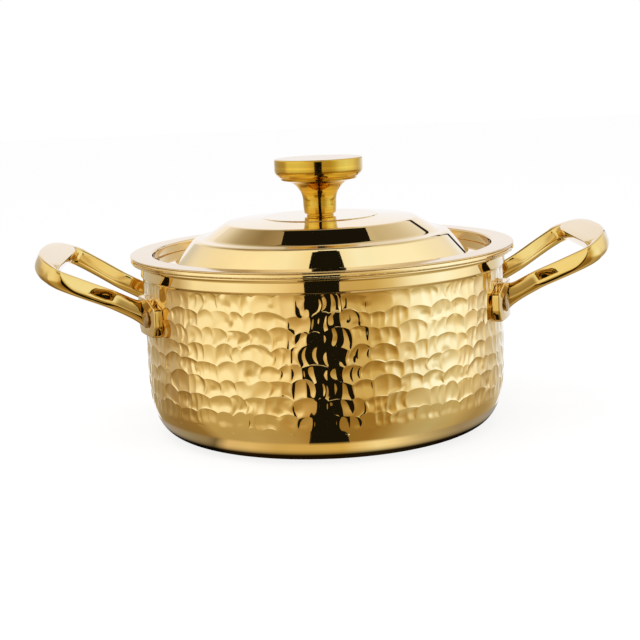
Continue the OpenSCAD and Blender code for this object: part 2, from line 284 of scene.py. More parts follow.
class HammerRow:
    """One row of hammer marks: a chain of arches around the wall, each a hollow with up to three
    dents in it. Its lists hold a value for each column of the wall's mesh."""

    def __init__(self, rng, columns, height, settings):
        mm = 2 * pi * WALL_R / columns
        starts = [0]
        while starts[-1] < columns:
            starts.append(starts[-1] + int(rng.uniform(settings.arch_least, settings.arch_most) / mm))
        starts = [round(s * columns / starts[-1]) for s in starts]
        arches = len(starts) - 1
        offset = int(rng.integers(0, columns))
        cusp = height - CUSP_DROP + rng.uniform(*CUSP_SPREAD, arches)
        bow = rng.uniform(-settings.bow, settings.bow, arches) / WALL_R
        (self.top, self.slide, self.arch, self.arch_depth, self.edge_shape, self.lean, self.sag,
         self.dent, self.dent_depth) = np.zeros((9, columns))
        for k, (first, end) in enumerate(zip(starts, starts[1:])):
            after = (k + 1) % arches
            width = (end - first) * mm
            share = (np.arange(first, end) - first) / (end - first)
            at = (np.arange(first, end) + offset) % columns
            rise = min(RISE_MOST, RISE_SHARE * width) * rng.uniform(*RISE_SPREAD)
            level = cusp[k] + (cusp[after] - cusp[k]) * share
            self.top[at] = level + rise * 4 * share * (1 - share)
            self.slide[at] = bow[k] + (bow[after] - bow[k]) * share
            self.arch[at] = share
            self.arch_depth[at] = settings.depth * rng.uniform(*DEPTH_SPREAD)
            self.lean[at] = rng.uniform(*LEAN_SPREAD)
            self.sag[at] = rng.uniform(*SAG_SPREAD)
            count = 1 + (width >= TWO_DENTS_W) + (width >= THREE_DENTS_W)
            if rng.random() < MISSED_DENT and count > 1:
                count -= 1
            self.edge_shape[at] = ROUND_HOLLOW if count == 1 else FLAT_HOLLOW
            cuts = [0]
            for c in range(1, count):
                cuts.append(round((c + rng.uniform(*CUT_SPREAD)) / count * (end - first)))
            cuts.append(end - first)
            for a, b in zip(cuts, cuts[1:]):
                inside = (np.arange(first + a, first + b) + offset) % columns
                self.dent[inside] = np.arange(b - a) / (b - a)
                steepness = settings.dent_slope * rng.uniform(*SLOPE_SPREAD)
                if count > 1:
                    self.dent_depth[inside] = steepness * (b - a) * mm / 4
                    self.sag[inside] += rng.uniform(*DENT_SAG_SPREAD)

    def depth_at(self, up):
        """Depth of the marks at share up of the way from the row's lower to its upper edge."""
        arch = np.clip(self.arch, 1e-6, 1) ** np.exp(self.lean)
        rise = up ** np.exp(self.sag)
        across = 4 * arch * (1 - arch)
        upward = 4 * rise * (1 - rise)
        in_dent = 4 * self.dent * (1 - self.dent)
        return (self.arch_depth * across ** self.edge_shape * upward
                + self.dent_depth * in_dent * upward ** DENT_FULLNESS)


def small_dents(rng, heights, settings):
    """Small round dents that fell between the marks of two rows, as their depth along a ring."""
    count = settings.small_dents
    dents = list(zip(rng.uniform(0, 2 * pi, count),
                     rng.choice(heights, count) + rng.uniform(*SMALL_DENT_ABOVE, count),
                     rng.uniform(*SMALL_DENT_R, count),
                     settings.dent_slope * rng.uniform(*SMALL_DENT_SLOPE, count)))

    def depth_at(around, height):
        depth = np.zeros(len(around))
        for turn, middle, size, slope in dents:
            if np.min(np.abs(height - middle)) > size:
                continue
            aside = (np.mod(around - turn + pi, 2 * pi) - pi) * WALL_R
            reach = (aside ** 2 + (height - middle) ** 2) / size ** 2
            depth += slope * size / 2 * np.clip(1 - reach, 0, 1)
        return depth
    return depth_at


def wall_at(height):
    """Radius of the smooth wall at a height, and its outward normal as (radius, height)."""
    low = np.clip((CORNER_H - height) / CORNER_H, 0, 1)
    n = CORNER_SQUARENESS
    side = (1 - low ** n) ** (1 / n)
    radius = WALL_R - CORNER_W + CORNER_W * side
    slope_r = side ** (n - 1) / CORNER_W
    slope_z = low ** (n - 1) / CORNER_H
    length = np.sqrt(slope_r ** 2 + slope_z ** 2)
    return radius, slope_r / length, -slope_z / length


def waviness(rng, count, waves_around, waves_up, size):
    """Sum of smooth waves over the wall, as a function of direction and height."""
    terms = [(int(rng.integers(*waves_around)), rng.uniform(-waves_up, waves_up),
              rng.uniform(0, 2 * pi), rng.uniform(0.5, 1)) for _ in range(count)]

    def wave(around, height):
        total = 0
        for turns, up, start, weight in terms:
            total = total + weight * np.sin(turns * around + up * height + start)
        return size * total / sqrt(count)
    return wave


def hammered_shell(settings):
    """Mesh of the outer shell, from the middle of the base up the wall, over the rim and back."""
    rng = np.random.default_rng(settings.seed)
    columns = settings.columns
    around = np.linspace(0, 2 * pi, columns, endpoint=False)
    drift = waviness(rng, count=7, waves_around=(5, 22), waves_up=0.16, size=0.014)
    swell = waviness(rng, count=8, waves_around=(3, 17), waves_up=0.10, size=0.055)
    row_h = (settings.top - settings.bottom) / settings.rows
    edges = [settings.bottom + row_h * k for k in range(settings.rows + 1)]
    hammer_rows = [HammerRow(rng, columns, edge, settings) for edge in edges]
    small_depth = small_dents(rng, edges[1:], settings)

    def on_wall(height, depth):
        above = height - settings.bottom
        worked = (WORKED_DEPTH + swell(around, height)) * eased((above + WORKED_FROM) / WORKED_OVER)
        depth = np.maximum(depth * eased((above + MARKS_FROM) / MARKS_OVER) + worked, 0)
        radius, out, up = wall_at(height)
        return radius - depth * out, height - depth * up

    lower = np.full(columns, settings.bottom - WORKED_FROM)
    rows = [(0, 0.0)]
    rows += [(r, z) for r, z in base_corner(WALL_R, 0, CORNER_W, CORNER_H, 60)
             if z < lower[0] - WORKED_GAP]
    for hammer_row in hammer_rows:
        upper = hammer_row.top
        for j in range(settings.steps):
            up = 0.5 - 0.5 * cos(pi * j / settings.steps)
            height = lower + (upper - lower) * up
            depth = hammer_row.depth_at(up) + small_depth(around, height)
            rows.append((*on_wall(height, depth), hammer_row.slide * sin(pi * up)))
        lower = upper
    shoulder = NECK_Z - SHOULDER_DROP
    for j in range(SHOULDER_STEPS):
        up = j / SHOULDER_STEPS
        height = lower + (shoulder - lower) * up
        depth = np.maximum(WORKED_DEPTH + swell(around, height), 0) * (1 - up)
        rows.append((wall_at(height)[0] - depth, height))
    rows += rounded([
        (WALL_R, shoulder, 0), (WALL_R + 0.05, NECK_Z - 0.55, 0.15), (NECK_R, NECK_Z + 0.25, 0.4),
        (NECK_R, LIP_Z - NECK_FILLET, 0.6), (NECK_R + NECK_FILLET, LIP_Z, 0.5),
        (LIP_R, LIP_Z, 0.35), (LIP_R, ROLL_Z, 0.35), (LIP_R - 1.0, ROLL_Z + 0.05, 0.15),
        (RIM_R - 0.1, ROLL_Z + 0.15, 0.5), (RIM_R, 0.5 * (ROLL_Z + FLANGE_Z), 0.5),
        (RIM_R - 0.25, FLANGE_Z, 0.3), (NECK_R - SHELL_T, FLANGE_Z, 0),
    ], steps=4)
    rows += [(NECK_R - SHELL_T, NECK_Z), (WALL_R - SHELL_T, NECK_Z - 1.5)]
    rows += reversed(base_corner(WALL_R - SHELL_T, SHELL_T, CORNER_W - SHELL_T, CORNER_H, 12))
    rows += [(0, SHELL_T)]
    return turned_piece(rows, columns, drift)


# ---- handles ----
# The bar follows a plane loop. Each station is [out, aside, direction of the bar's outer side in
# degrees, half width, shape of the inner side, shape of the outer side]; the two shapes run from 0,
# the ridged side of a leg, to 1, the full side of the loop's end.

ROOT_X = sqrt(FOOT_OUT ** 2 - ROOT_Y ** 2)
ROOT_A = atan2(ROOT_Y, ROOT_X)
RIVET_A = ROOT_A + RIVET_OUT / FOOT_OUT
HALF_BAR = BAR_H / 2
LOOP_OUT = np.array([cos(LOOP_TILT), 0, sin(LOOP_TILT)])
LOOP_UP = np.array([-sin(LOOP_TILT), 0, cos(LOOP_TILT)])
ASIDE = np.array([0.0, 1.0, 0.0])
ROOT = np.array([ROOT_X, ROOT_Y, ROOT_Z])
SPREAD_FROM = 8.0
TURN_R = 3.0
TURN_AT = (LOOP_L - 3.5, WIDE_Y - LEG_W / 2 - TURN_R)
TURN_W = LEG_W + TURN_R
END_HALF = END_TOP_W / 2 + 0.7
END_IN = LOOP_L - 0.5
FOOT_SINK = 0.8
FOOT_ROOT = 1.3
FLARE_IN = 1.35  # stretch of a foot's inner side, of its upper and of its lower part
FLARE_UP = 1.4
FLARE_DOWN = 1.85
SPAN_STEPS = 3
FLARE_STEPS = 7


def turned_station(degrees, outer, inner_shape, outer_shape):
    """Station on the fan round the opening's corner."""
    half = (outer - TURN_R) / 2
    a = radians(degrees)
    return [TURN_AT[0] + (TURN_R + half) * cos(a), TURN_AT[1] + (TURN_R + half) * sin(a),
            degrees, half, inner_shape, outer_shape]


def end_station(aside, share, inner_shape):
    """Station on the loop's end."""
    return [END_IN + share * END_HALF, aside, 0, share * END_HALF, inner_shape, 1]


TURN_START = turned_station(102, TURN_W, 0, 0.45)


def leg_station(out, aside, degrees):
    """Station on a leg, at shares of the way from its root to the corner."""
    return [SPREAD_FROM + (TURN_START[0] - SPREAD_FROM) * out,
            ROOT_Y + (TURN_START[1] - ROOT_Y) * aside, degrees, LEG_W / 2, 0, 0]


STATIONS = np.array([
    [-3, ROOT_Y, 90, LEG_W / 2, 0, 0],
    leg_station(0, 0.03, 92), leg_station(0.25, 0.1, 104), leg_station(0.45, 0.35, 113),
    leg_station(0.62, 0.6, 113), leg_station(0.84, 0.87, 109), TURN_START,
    turned_station(85, TURN_W - 0.2, 0, 0.9), turned_station(65, TURN_W - 0.8, 0, 1),
    turned_station(45, TURN_W - 1.4, 0.1, 1), turned_station(25, TURN_W - 0.8, 0.3, 1),
    turned_station(6, TURN_W + 0.5, 0.6, 1),
    end_station(WIDE_Y - 12.4, 0.8, 0.95), end_station(WIDE_Y - 19.6, 0.9, 1),
    end_station(0.28 * WIDE_Y, 0.985, 1), end_station(0, 1, 1),
    end_station(-0.28 * WIDE_Y, 0.985, 1),
])


def bar_side(h, shape):
    """One side of the bar's section as (aside, up) points from the top flat down."""
    leg = [(LEG_TOP_W / 2, HALF_BAR), (h, -0.12 * BAR_H), (h - 0.2, -0.26 * BAR_H),
           (h - 1.1, -0.4 * BAR_H), (h - 2.7, -0.48 * BAR_H)]
    end = [(h - 0.7, HALF_BAR), (h - 0.3, 0.44 * BAR_H), (h, 0.1 * BAR_H),
           (h - 0.5, -0.22 * BAR_H), (h - 2.4, -0.44 * BAR_H)]
    return np.array(leg) + (np.array(end) - np.array(leg)) * shape


def bar_section(h, inner_shape, outer_shape):
    """Whole section of the bar, from the outer edge of its top flat round to the inner edge."""
    inner = bar_side(h, inner_shape)[::-1] * [-1, 1]
    return np.concatenate([bar_side(h, outer_shape), [[0, -HALF_BAR]], inner])


def bar_ring(i, t):
    """Ring of the bar at share t of the span after station i."""
    out, aside, degrees, half, inner_shape, outer_shape = on_curve(STATIONS, i, t)
    a = radians(degrees)
    across = LOOP_OUT * cos(a) + ASIDE * sin(a)
    middle = ROOT + LOOP_OUT * out + ASIDE * (aside - ROOT_Y)
    return np.array([middle + across * p[0] + LOOP_UP * p[1]
                     for p in bar_section(half, inner_shape, outer_shape)])


def flare_ring(t):
    """Ring of the flare: t runs from 0 on the leg to 1 on the foot plate."""
    start = bar_ring(1, 0)
    plate = []
    for side, up in bar_section(LEG_W / 2, 0, 0):
        a = ROOT_A + side * (1 if side > 0 else FLARE_IN) / FOOT_OUT
        r = FOOT_OUT - FOOT_SINK
        z = ROOT_Z + up * (FLARE_UP if up > 0 else FLARE_DOWN)
        plate.append((r * cos(a), r * sin(a), z))
    gap = np.array(plate) - start
    along = np.outer(gap @ LOOP_OUT, LOOP_OUT)
    return start + along * sin(pi / 2 * t) + (gap - along) * (1 - cos(pi / 2 * t))


def loop_rings():
    """All rings of the loop from its back foot to its front foot."""
    foot = flare_ring(1)
    inward = foot * [1, 1, 0]
    half = [foot - FOOT_ROOT * inward / np.linalg.norm(inward, axis=1, keepdims=True)]
    half += [flare_ring(k / FLARE_STEPS) for k in range(FLARE_STEPS, 0, -1)]
    last = len(STATIONS) - 2
    half += [bar_ring(i, k / SPAN_STEPS) for i in range(1, last) for k in range(SPAN_STEPS)]
    half += [bar_ring(last, 0)]
    return half + [ring * [1, -1, 1] for ring in reversed(half[:-1])]


PLATE_OUT = 11.0
PLATE_IN = 19.0
PLATE_UP = 10.7
PLATE_DOWN = 9.0
PLATE_OUTLINE = [
    (PLATE_OUT - 3.4, -PLATE_DOWN, 1.2), (PLATE_OUT - 2, 0.9 - PLATE_DOWN, 0.8),
    (PLATE_OUT, 5.3 - PLATE_DOWN, 1.2), (PLATE_OUT, PLATE_UP - 4.5, 1.6), (1.2, PLATE_UP, 1.6),
    (3.5 - PLATE_IN, PLATE_UP, 1.5), (-PLATE_IN, PLATE_UP - 3.2, 1.5),
    (-PLATE_IN, 4.8 - PLATE_DOWN, 1.5), (5 - PLATE_IN, -PLATE_DOWN, 1.5),
]
PLATE_EDGE = 0.75
PLATE_STEP = 1.6
EDGE_STEPS = 5
GROOVE_W = 0.6
GROOVE_DEPTH = 0.45

OUTER_SHARP = 8.5  # spans from the loop's middle to where the top's outer edge goes soft
INNER_SHARP = 4.5  # and its inner edge
SHARP_CREASE = 0.9
SOFT_CREASE = 0.25
SIDE_CREASE = 0.62


def plate_rings():
    """Rings of a foot plate, from its face on the wall over its rounded edge to the rivet."""
    outline = rounded([PLATE_OUTLINE[-1]] + PLATE_OUTLINE + [PLATE_OUTLINE[0]], steps=4)[1:-1]
    fine = []
    for a, b in zip(outline, outline[1:] + outline[:1]):
        pieces = max(1, int(np.linalg.norm(b - a) / PLATE_STEP))
        fine += [a + (b - a) * k / pieces for k in range(pieces)]
    fine = np.array([p for k, p in enumerate(fine) if np.linalg.norm(p - fine[k - 1]) > 1e-4])
    size = np.linalg.norm(fine, axis=1, keepdims=True)

    def ring(radius, inset, share=1.0):
        flat = fine * (size - inset) / size * share
        angle = RIVET_A + np.arcsin(flat[:, 0] / radius)
        return np.stack([radius * np.cos(angle), radius * np.sin(angle), RIVET_Z + flat[:, 1]], 1)

    rings = [ring(FOOT_IN, 0, k) for k in (0.3, 0.7)]
    rings += [ring(FOOT_IN, 0), ring(FOOT_IN + 0.2, 0), ring(FOOT_OUT - PLATE_EDGE - 0.2, 0)]
    for k in range(EDGE_STEPS + 1):
        a = pi / 2 * k / EDGE_STEPS
        rings.append(ring(FOOT_OUT - PLATE_EDGE * (1 - sin(a)), PLATE_EDGE * (1 - cos(a))))
    rings.append(ring(FOOT_OUT, PLATE_EDGE + 0.25))
    bottom = FOOT_OUT - GROOVE_DEPTH
    for radius, reach in ((FOOT_OUT, HEAD_R + GROOVE_W + 0.7), (FOOT_OUT, HEAD_R + GROOVE_W + 0.15),
                          (FOOT_OUT - 0.06, HEAD_R + GROOVE_W), (bottom, HEAD_R + GROOVE_W - 0.08),
                          (bottom, HEAD_R - 0.2), (bottom, 0.5 * HEAD_R)):
        rings.append(ring(radius, size - reach))
    return rings


def skin(rings, first=0):
    """Faces over a list of rings of equal length, with both ends closed."""
    n = len(rings[0])
    faces = [tuple(first + j for j in range(n))]
    for k in range(len(rings) - 1):
        for j in range(n):
            a, b = first + k * n + j, first + k * n + (j + 1) % n
            faces.append((a, b, b + n, a + n))
    faces.append(tuple(first + (len(rings) - 1) * n + j for j in reversed(range(n))))
    return faces


def cast_handle(name, side, material, node):
    """A loop handle with its two foot plates; side is 1 on the right and -1 on the left."""
    rings = loop_rings()
    bar = new_object(name + ".bar", np.concatenate(rings) * [side, 1, 1] * MM, skin(rings))
    mesh = bar.data
    work = bmesh.new()
    work.from_mesh(mesh)
    bmesh.ops.recalc_face_normals(work, faces=work.faces)
    crease = work.edges.layers.float.new("crease_edge")
    n = len(rings[0])
    middle = (len(rings) - 1) / 2
    for edge in work.edges:
        a, b = (v.index for v in edge.verts)
        if a % n != b % n:
            continue
        to_middle = abs((a + b) / (2 * n) - middle) / SPAN_STEPS
        if a % n in (0, n - 1):
            sharp = min(1, max(0, (OUTER_SHARP if a % n == 0 else INNER_SHARP) - to_middle))
            edge[crease] = SOFT_CREASE + (SHARP_CREASE - SOFT_CREASE) * sharp
        elif a % n in (1, n - 2):
            edge[crease] = SIDE_CREASE
    work.to_mesh(mesh)
    work.free()
    smooth = bar.modifiers.new("smooth", "SUBSURF")
    smooth.levels = smooth.render_levels = 2
    finished = bar.evaluated_get(bpy.context.evaluated_depsgraph_get())
    fine = finished.to_mesh()
    vertices = [np.array(v.co) / MM for v in fine.vertices]
    faces = [tuple(p.vertices) for p in fine.polygons]
    finished.to_mesh_clear()
    bpy.data.objects.remove(bar)
    bpy.data.meshes.remove(mesh)
    for front in (1, -1):
        plate = [ring * [side, front, 1] for ring in plate_rings()]
        faces += skin(plate, len(vertices))
        vertices += list(np.concatenate(plate))
    return piece_from(name, (vertices, faces), "kettle", [node], material)


def rivet(name, side, front, material, node):
    """A rivet with its flat-domed head, its shank and its tail in the air gap."""
    dome = HEAD_H - HEAD_SIDE
    dome_r = (HEAD_R ** 2 + dome ** 2) / (2 * dome)
    spread = asin(HEAD_R / dome_r)
    seat = FOOT_OUT - HEAD_SINK
    rim = seat + HEAD_SIDE
    outline = [(0, TAIL_R), (RIVET_R, TAIL_R), (RIVET_R, seat), (HEAD_R - 0.15, seat),
               (HEAD_R, seat + 0.12), (HEAD_R, rim - 0.1), (HEAD_R - 0.06, rim)]
    outline += [(dome_r * sin(a), rim + dome - dome_r + dome_r * cos(a))
                for a in np.linspace(spread * 0.96, 0, 10)[:-1]]
    outline += [(0, rim + dome)]
    vertices, faces = turned_piece(outline, RIVET_COLUMNS)
    out = np.array([cos(RIVET_A), sin(RIVET_A), 0])
    across = np.array([-sin(RIVET_A), cos(RIVET_A), 0])
    placed = [(across * x + np.array([0, 0, 1]) * y + out * z + [0, 0, RIVET_Z])
              * [side, front, 1] for x, y, z in vertices]
    return piece_from(name, (placed, faces), "kettle", [node], material)


# ---- finishes ----

WHITE = (1, 1, 1, 1)
COAT_ROUGHNESS = 0.02
LIGHTER = 1.03
# Noise as (scale, detail, roughness, stretch along X, Y and Z)
HAZE = (140, 4, 0.6, (1, 1, 1))
PLAIN_TONE = (28, 3, 0.5, (1, 1, 1))
PLAIN_GRAIN = (420, 2, 0.5, (1, 1, 1))
TURNED_TONE = (130, 4, 0.5, (0.06, 0.06, 6))
TURNED_GRAIN = (300, 2, 0.5, (0.06, 0.06, 6))
PLAIN_RELIEF = 1.6e-6
TURNED_RELIEF = 1.2e-6
NOISE_LOW = 0.3
NOISE_HIGH = 0.7


class Nodes:
    """The node tree of a material or of the world, with short calls that add a node and give back
    one of its outputs. An input is either a value or another node's output."""

    def __init__(self, owner):
        owner.use_nodes = True
        self.tree = owner.node_tree

    def feed(self, node, inputs):
        for name, value in inputs.items():
            if isinstance(value, bpy.types.NodeSocket):
                self.tree.links.new(value, node.inputs[name])
            else:
                node.inputs[name].default_value = value

    def add(self, kind, inputs=None, output=0, **options):
        node = self.tree.nodes.new("ShaderNode" + kind)
        for name, value in options.items():
            setattr(node, name, value)
        self.feed(node, inputs or {})
        return node.outputs[output]

    def show(self, surface, kind="Material"):
        """End the tree in a surface."""
        self.feed(self.tree.nodes.new("ShaderNodeOutput" + kind), {"Surface": surface})

    def math(self, operation, *values):
        return self.add("Math", dict(enumerate(values)), operation=operation)

    def product(self, first, *others):
        for other in others:
            first = self.math("MULTIPLY", first, other)
        return first

    def without(self, share):
        """What a share leaves of 1."""
        return self.math("SUBTRACT", 1.0, share)

    def spread(self, value, start, end, low=0.0, high=1.0, kind="LINEAR"):
        """A value between start and end, spread between low and high."""
        limits = {"From Min": start, "From Max": end, "To Min": low, "To Max": high}
        return self.add("MapRange", {"Value": value, **limits}, "Result", interpolation_type=kind)

    def step(self, value, start, end):
        """Smooth step from 0 to 1."""
        return self.spread(value, start, end, kind="SMOOTHSTEP")

    def ramp(self, value, stops):
        """Colour at a value, through stops of (value, red, green, blue)."""
        shade = self.add("ValToRGB", {"Fac": value}, "Color")
        elements = shade.node.color_ramp.elements
        while len(elements) < len(stops):
            elements.new(0.5)
        for element, (position, *colour) in zip(elements, stops):
            element.position = position
            element.color = (*colour, 1)
        return shade

    def blend(self, share, first, second, kind="MIX"):
        """Two colours, the second mixed into the first."""
        inputs = {"Factor": share, "A": first, "B": second}
        return self.add("Mix", inputs, "Result", data_type="RGBA", blend_type=kind)

    def either(self, share, first, second):
        """Two shaders, the second mixed into the first."""
        return self.add("MixShader", {0: share, 1: first, 2: second})

    def noise(self, scale, detail, roughness, stretch):
        """Noise over the piece."""
        where = self.add("TexCoord", output="Object")
        place = self.add("Mapping", {"Vector": where, "Scale": stretch})
        inputs = {"Vector": place, "Scale": scale, "Detail": detail, "Roughness": roughness}
        return self.add("TexNoise", inputs, "Fac")


def polished_metal(name, colour, roughness, coat=0.0, haze=0.02, streaks=0.06, turned=False):
    """Polished, plated metal: a drift of tone, fine handling haze and a little grain. On a turned
    piece, the tone and the grain follow the turning marks."""
    material = bpy.data.materials.new(name)
    nodes = Nodes(material)
    tone = nodes.noise(*(TURNED_TONE if turned else PLAIN_TONE))
    dark = [c * (1 - streaks) for c in colour]
    light = [min(1.0, c * LIGHTER) for c in colour]
    grain = nodes.noise(*(TURNED_GRAIN if turned else PLAIN_GRAIN))
    relief = {"Height": grain, "Distance": TURNED_RELIEF if turned else PLAIN_RELIEF}
    nodes.feed(nodes.tree.nodes["Principled BSDF"], {
        "Metallic": 1.0, "Coat Weight": coat, "Coat Roughness": COAT_ROUGHNESS,
        "Base Color": nodes.ramp(tone, [(NOISE_LOW, *dark), (NOISE_HIGH, *light)]),
        "Roughness": nodes.spread(nodes.noise(*HAZE), NOISE_LOW, NOISE_HIGH, roughness,
                                  roughness + haze),
        "Normal": nodes.add("Bump", relief),
    })
    return material


# ---- settings ----

class KETTLE_hammer_settings(bpy.types.PropertyGroup):
    """Sizes of the hammer marks"""
    rows: IntProperty(name="Rows", description="Rows of hammer marks", default=8)
    top: FloatProperty(name="Top", description="Height of the top row's upper edge, mm", default=85.3)
    bottom: FloatProperty(name="Bottom", description="Height of the lowest row's lower edge, mm",
                          default=17.4)
    depth: FloatProperty(name="Depth", description="Depth of an arch's hollow, mm", default=0.29)
    dent_slope: FloatProperty(name="Dent Slope", description="Slope at the edge of a dent, as a "
                              "share of its width", default=0.14)
    bow: FloatProperty(name="Bow", description="Sideways bow of the ridges between arches, mm",
                       default=1.7)
    arch_least: FloatProperty(name="Narrowest Arch", description="Width of an arch, mm", default=5.5)
    arch_most: FloatProperty(name="Widest Arch", description="Width of an arch, mm", default=15.0)
    small_dents: IntProperty(name="Small Dents", description="Small round dents between the rows",
                             default=230)
    columns: IntProperty(name="Columns", description="Columns of the wall's mesh", default=864)
    steps: IntProperty(name="Steps", description="Rings of mesh in each row of marks", default=12)
    seed: IntProperty(name="Seed", description="Seed of the pattern", default=14)


class KETTLE_finish_settings(bpy.types.PropertyGroup):
    """Colours of the metals"""
    gold: FloatVectorProperty(name="Gold", description="Plated gold of the vessel and lid",
                              subtype="COLOR", default=(0.93, 0.68, 0.27))
    liner_gold: FloatVectorProperty(name="Liner Gold", description="Deeper gold of the liner",
                                    subtype="COLOR", default=(0.80, 0.55, 0.22))
    handle_gold: FloatVectorProperty(name="Handle Gold", description="Plated gold of the handles",
                                     subtype="COLOR", default=(0.80, 0.53, 0.12))
    rivet_gold: FloatVectorProperty(name="Rivet Gold", description="Duller gold of the rivet heads",
                                    subtype="COLOR", default=(0.55, 0.37, 0.15))
    knob_gold: FloatVectorProperty(name="Knob Gold", description="Deeper gold of the knob",
                                   subtype="COLOR", default=(0.80, 0.49, 0.045))
    steel: FloatVectorProperty(name="Steel", description="Bare steel of the screw and washers",
                               subtype="COLOR", default=(0.60, 0.59, 0.57))


class KETTLE_stage_settings(bpy.types.PropertyGroup):
    """Camera, floor and light"""
    camera_at: FloatVectorProperty(name="Camera", description="Place of the camera",
                                   subtype="TRANSLATION", unit="LENGTH",
                                   default=(-0.02875, -0.760495, 0.192149))
    camera_turn: FloatVectorProperty(name="Camera Turn", description="Rotation of the camera",
                                     subtype="EULER",
                                     default=tuple(radians(a) for a in
                                                   (79.86765, 2.34456, -2.39305)))
    lens: FloatProperty(name="Lens", description="Focal length, mm", default=78.75)
    sky: FloatProperty(name="Light Level", description="Strength of the room's light", default=1.0)
    card_r: FloatProperty(name="Card Distance", description="Distance of the dark card",
                          unit="LENGTH", default=0.65)
    card_z: FloatProperty(name="Card Height", description="Height of the dark card's middle",
                          unit="LENGTH", default=0.06)
    # The bright ring is the glowing table about the foot, with its painted shadow and painted light
    ring_r: FloatProperty(name="Bright Ring", description="Outer radius of the bright floor about "
                          "the foot", unit="LENGTH", default=0.104)


class KETTLE_settings(bpy.types.PropertyGroup):
    """All settings of the kettle"""
    hammer: PointerProperty(type=KETTLE_hammer_settings)
    finish: PointerProperty(type=KETTLE_finish_settings)
    stage: PointerProperty(type=KETTLE_stage_settings)


# ---- operators ----

class KETTLE_OT_shell(bpy.types.Operator):
    """Make the hammered outer shell with its neck and rolled rim"""
    bl_idname = "kettle.shell"
    bl_label = "Hammered Shell"

    def execute(self, context):
        settings = context.scene.kettle
        gold = polished_metal("shell_gold", settings.finish.gold, roughness=0.03, coat=1.0)
        piece_from("hammered_shell", hammered_shell(settings.hammer), "kettle",
                   ["outer_shell"], gold)
        return {"FINISHED"}


class KETTLE_OT_liner(bpy.types.Operator):
    """Make the inner liner with its seat for the lid and its flange on the rim"""
    bl_idname = "kettle.liner"
    bl_label = "Liner"

    def execute(self, context):
        settings = context.scene.kettle
        path = rounded([
            (MOUTH_R + 6, FLANGE_Z, 0), (RIM_R - 0.35, FLANGE_Z + 0.02, 0.2),
            (RIM_R - 0.02, VESSEL_H - 0.5, 0.35), (RIM_R - 0.5, VESSEL_H, 0.4),
            (MOUTH_R, VESSEL_H, 1.4), (MOUTH_R, SEAT_Z, 0.6), (LINER_R, SEAT_Z, 0.6),
            (LINER_R, CORNER_H + LINER_Z, 0),
        ])
        path += reversed(base_corner(LINER_R, LINER_Z, CORNER_W, CORNER_H, 24))
        path += [(0, LINER_Z), (0, LINER_Z - LINER_T)]
        path += base_corner(LINER_R + LINER_T, LINER_Z - LINER_T, CORNER_W + LINER_T, CORNER_H, 12)
        path += [(LINER_R + LINER_T, SEAT_Z - LINER_T), (MOUTH_R + LINER_T, SEAT_Z - LINER_T),
                 (MOUTH_R + LINER_T, FLANGE_Z)]
        gold = polished_metal("liner_gold", settings.finish.liner_gold, roughness=0.04, coat=0.6)
        liner = piece_from("liner", turned_piece(path, closed=True), "kettle",
                           ["inner_liner"], gold)
        brushed = polished_metal("liner_brushed", settings.finish.liner_gold, roughness=0.16,
                                 coat=0.2, haze=0.08, streaks=0.14, turned=True)
        liner.data.materials.append(brushed)
        for face in liner.data.polygons:
            face.material_index = int(face.center.z < (SEAT_Z - BRUSHED_BELOW) * MM)
        return {"FINISHED"}


class KETTLE_OT_handles(bpy.types.Operator):
    """Make the two cast loop handles with their foot plates"""
    bl_idname = "kettle.handles"
    bl_label = "Handles"

    def execute(self, context):
        gold = polished_metal("handle_gold", context.scene.kettle.finish.handle_gold,
                              roughness=0.035, coat=1.0)
        cast_handle("right_handle", 1, gold, "handle_right")
        cast_handle("left_handle", -1, gold, "handle_left")
        return {"FINISHED"}


class KETTLE_OT_rivets(bpy.types.Operator):
    """Make the four rivets of the handles"""
    bl_idname = "kettle.rivets"
    bl_label = "Rivets"

    def execute(self, context):
        gold = polished_metal("rivet_gold", context.scene.kettle.finish.rivet_gold,
                              roughness=0.16, coat=0.3, haze=0.08)
        for side, hand in ((1, "right"), (-1, "left")):
            for front, place in ((-1, "front"), (1, "back")):
                rivet(f"rivet.{hand}.{place}", side, front, gold, f"rivet_{hand}_{place}")
        return {"FINISHED"}


class KETTLE_OT_lid(bpy.types.Operator):
    """Make the stepped lid"""
    bl_idname = "kettle.lid"
    bl_label = "Lid"

    def execute(self, context):
        top = [
            (SCREW_HOLE_R, DISC_Z, 0), (DISC_R, DISC_Z, 0.35), (DISC_R + 0.6, DISC_Z - 0.5, 0.3),
            (PLATEAU_R, PLATEAU_Z, 1.1), (TOP_CONE_R, STEP_Z, 2.2), (STEP_R, STEP_Z, 2.0),
            (CONE_R, BRIM_Z, 0.5), (BRIM_R - 0.1, BRIM_Z, 0.3), (BRIM_R, BRIM_Z - LID_T / 2, 0.25),
            (BRIM_R - 0.1, BRIM_Z - LID_T, 0),
        ]
        under = [
            (BRIM_R - 0.3, BRIM_Z, 0), (CONE_R - 0.5, BRIM_Z, 0.8), (STEP_R - 0.6, STEP_Z, 0.8),
            (TOP_CONE_R - 0.5, STEP_Z, 0.8), (PLATEAU_R - 0.4, PLATEAU_Z, 0.8),
            (DISC_R, DISC_Z - 0.5, 0.3), (DISC_R - 0.6, DISC_Z, 0.3), (SCREW_HOLE_R, DISC_Z, 0),
        ]
        upper = rounded(top)
        lower = rounded([(r, z - LID_T, rounding) for r, z, rounding in under])
        upper.insert(1, (SCREW_HOLE_R + 0.2, DISC_Z))
        lower.insert(-1, (SCREW_HOLE_R + 0.2, DISC_Z - LID_T))
        gold = polished_metal("lid_gold", context.scene.kettle.finish.gold, roughness=0.012,
                              coat=1.0)
        piece_from("stepped_lid", turned_piece(upper + lower, closed=True), "lid",
                   ["lid_shell"], gold)
        return {"FINISHED"}


